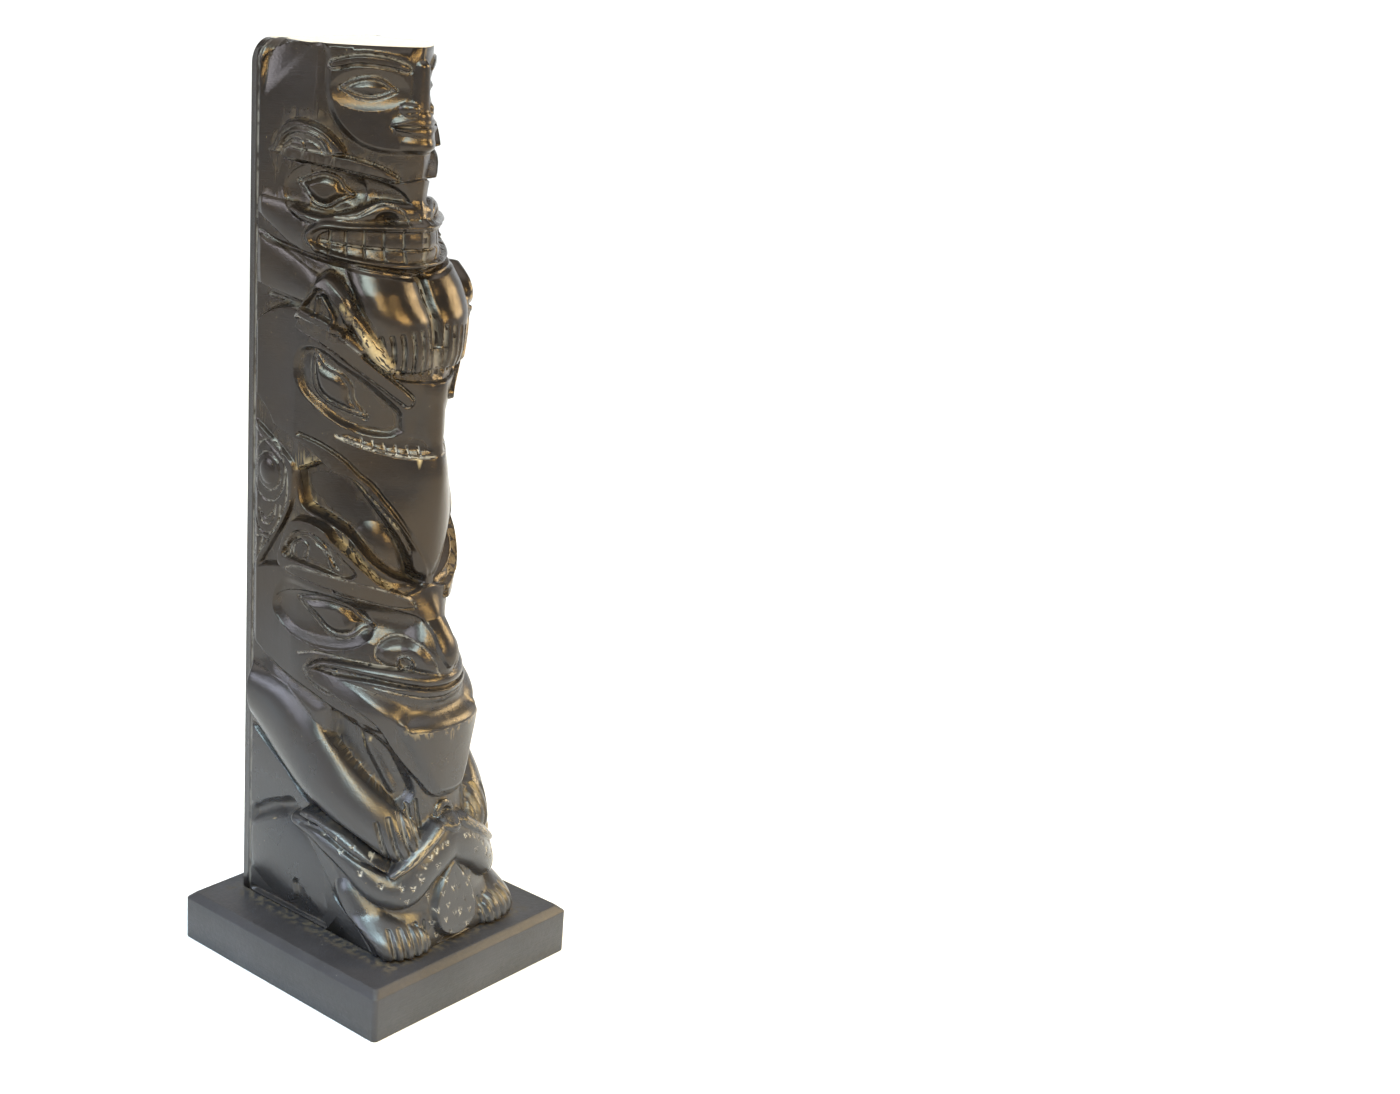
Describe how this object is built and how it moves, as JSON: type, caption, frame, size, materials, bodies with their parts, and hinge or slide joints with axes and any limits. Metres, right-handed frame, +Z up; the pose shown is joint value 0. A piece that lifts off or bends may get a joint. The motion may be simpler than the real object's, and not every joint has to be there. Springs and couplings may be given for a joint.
{
  "type": "carved totem pole",
  "caption": "Carved dark slate totem pole with stacked animal figures, flat at the back, on a square chamfered plinth.",
  "frame": {"origin": "centre of the plinth's underside", "axes": "+Z up along the pole; -Y is the side the figures face; the flat back faces +Y"},
  "size_m": [0.09, 0.09, 0.293],
  "materials": {
    "pole_slate": "polished",
    "plinth_slate": "satin"
  },
  "bodies": {
    "root": {"pole": "pole_slate", "plinth": "plinth_slate"}
  },
  "joints": []
}
